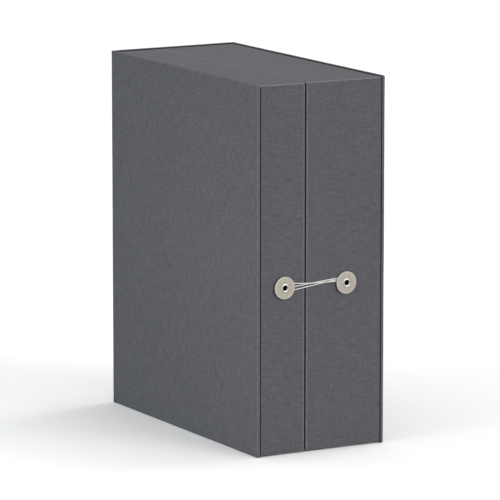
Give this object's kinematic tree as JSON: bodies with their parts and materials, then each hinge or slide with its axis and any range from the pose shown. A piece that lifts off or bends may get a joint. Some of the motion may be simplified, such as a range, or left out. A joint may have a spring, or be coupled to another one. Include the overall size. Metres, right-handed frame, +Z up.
{
  "type": "archival box",
  "caption": "Upright cloth-covered archival box that opens like a book, with drawers in the wide tray, tabbed folders in the narrow one and a string-and-button tie.",
  "frame": {"origin": "middle of the case's footprint, on the surface that the box stands on", "axes": "+Z up along the height, +X from the narrow half to the wide half (the box's thickness), +Y from the buttons to the spine"},
  "size_m": [0.156, 0.3321, 0.4],
  "materials": {
    "bookcloth": "charcoal-grey woven bookcloth, fine square weave, matte",
    "greyboard": "dense grey binder's board",
    "lining_paper": "uncoated light grey lining paper on board",
    "drawer_paper": "textured light grey paper on board",
    "pull_tape": "woven pull tape",
    "folder_card": "buff archival card",
    "button_fibre": "stone-coloured vulcanised fibre disc, slightly mottled",
    "eyelet_metal": "nickel-plated eyelet",
    "washer_fibre": "pressed fibre washer",
    "waxed_string": "off-white waxed cotton twine"
  },
  "bodies": {
    "wide_half": {"right_cover_board": "greyboard", "right_cover_cloth": "bookcloth", "spine_board": "greyboard", "spine_cloth": "bookcloth", "wide_tray_front_wall": "greyboard", "wide_tray_rear_wall": "greyboard", "wide_tray_top_wall": "greyboard", "wide_tray_bottom_wall": "greyboard", "wide_tray_cloth": "bookcloth", "wide_tray_back_panel": "lining_paper", "shelf_1": "lining_paper", "shelf_2": "lining_paper", "shelf_3": "lining_paper", "shelf_4": "lining_paper", "divider_1": "lining_paper", "divider_2": "lining_paper", "divider_3": "lining_paper", "right_spacer": "washer_fibre", "right_eyelet": "eyelet_metal", "right_backing_washer": "washer_fibre"},
    "narrow_half": {"left_cover_board": "greyboard", "left_cover_cloth": "bookcloth", "hinge_cloth": "bookcloth", "narrow_tray_front_wall": "greyboard", "narrow_tray_rear_wall": "greyboard", "narrow_tray_top_wall": "greyboard", "narrow_tray_bottom_wall": "greyboard", "narrow_tray_cloth": "bookcloth", "narrow_tray_back_panel": "lining_paper", "document_pocket": "lining_paper", "left_spacer": "washer_fibre", "left_eyelet": "eyelet_metal", "left_backing_washer": "washer_fibre", "closure_string": "waxed_string"},
    "left_button": {"left_disc": "button_fibre"},
    "right_button": {"right_disc": "button_fibre"},
    "drawer_1_body": {"drawer_1": "drawer_paper", "drawer_1_pull": "pull_tape"},
    "drawer_2_body": {"drawer_2": "drawer_paper", "drawer_2_pull": "pull_tape"},
    "drawer_3_body": {"drawer_3": "drawer_paper", "drawer_3_pull": "pull_tape"},
    "drawer_4_body": {"drawer_4": "drawer_paper", "drawer_4_pull": "pull_tape"},
    "drawer_5_body": {"drawer_5": "drawer_paper", "drawer_5_pull": "pull_tape"},
    "drawer_6_body": {"drawer_6": "drawer_paper", "drawer_6_pull": "pull_tape"},
    "drawer_7_body": {"drawer_7": "drawer_paper", "drawer_7_pull": "pull_tape"},
    "drawer_8_body": {"drawer_8": "drawer_paper", "drawer_8_pull": "pull_tape"},
    "folder_1_body": {"folder_1": "folder_card"},
    "folder_2_body": {"folder_2": "folder_card"},
    "folder_3_body": {"folder_3": "folder_card"},
    "folder_4_body": {"folder_4": "folder_card"},
    "folder_5_body": {"folder_5": "folder_card"},
    "folder_6_body": {"folder_6": "folder_card"}
  },
  "joints": [
    {"name": "cloth_hinge", "type": "hinge", "parent": "wide_half", "child": "narrow_half", "pos_m": [-0.078, 0.165, 0.2], "axis": [0, 0, -1], "range_deg": [0, 110], "deforming": ["hinge_cloth", "closure_string"]},
    {"name": "left_button_turn", "type": "hinge", "parent": "narrow_half", "child": "left_button", "pos_m": [-0.04545, -0.1632, 0.1812], "axis": [0, -1, 0], "continuous": true},
    {"name": "right_button_turn", "type": "hinge", "parent": "wide_half", "child": "right_button", "pos_m": [0.03045, -0.1632, 0.1803], "axis": [0, -1, 0], "continuous": true},
    {"name": "drawer_1_slide", "type": "slide", "parent": "wide_half", "child": "drawer_1_body", "axis": [-1, 0, 0], "range_m": [0, 0.03]},
    {"name": "drawer_2_slide", "type": "slide", "parent": "wide_half", "child": "drawer_2_body", "axis": [-1, 0, 0], "range_m": [0, 0.03]},
    {"name": "drawer_3_slide", "type": "slide", "parent": "wide_half", "child": "drawer_3_body", "axis": [-1, 0, 0], "range_m": [0, 0.03]},
    {"name": "drawer_4_slide", "type": "slide", "parent": "wide_half", "child": "drawer_4_body", "axis": [-1, 0, 0], "range_m": [0, 0.03]},
    {"name": "drawer_5_slide", "type": "slide", "parent": "wide_half", "child": "drawer_5_body", "axis": [-1, 0, 0], "range_m": [0, 0.03]},
    {"name": "drawer_6_slide", "type": "slide", "parent": "wide_half", "child": "drawer_6_body", "axis": [-1, 0, 0], "range_m": [0, 0.03]},
    {"name": "drawer_7_slide", "type": "slide", "parent": "wide_half", "child": "drawer_7_body", "axis": [-1, 0, 0], "range_m": [0, 0.03]},
    {"name": "drawer_8_slide", "type": "slide", "parent": "wide_half", "child": "drawer_8_body", "axis": [-1, 0, 0], "range_m": [0, 0.03]},
    {"name": "folder_1_lift", "type": "slide", "parent": "narrow_half", "child": "folder_1_body", "axis": [0, 0, 1], "range_m": [0, 0.09]},
    {"name": "folder_2_lift", "type": "slide", "parent": "narrow_half", "child": "folder_2_body", "axis": [0, 0, 1], "range_m": [0, 0.09]},
    {"name": "folder_3_lift", "type": "slide", "parent": "narrow_half", "child": "folder_3_body", "axis": [0, 0, 1], "range_m": [0, 0.09]},
    {"name": "folder_4_lift", "type": "slide", "parent": "narrow_half", "child": "folder_4_body", "axis": [0, 0, 1], "range_m": [0, 0.09]},
    {"name": "folder_5_lift", "type": "slide", "parent": "narrow_half", "child": "folder_5_body", "axis": [0, 0, 1], "range_m": [0, 0.09]},
    {"name": "folder_6_lift", "type": "slide", "parent": "narrow_half", "child": "folder_6_body", "axis": [0, 0, 1], "range_m": [0, 0.09]}
  ]
}
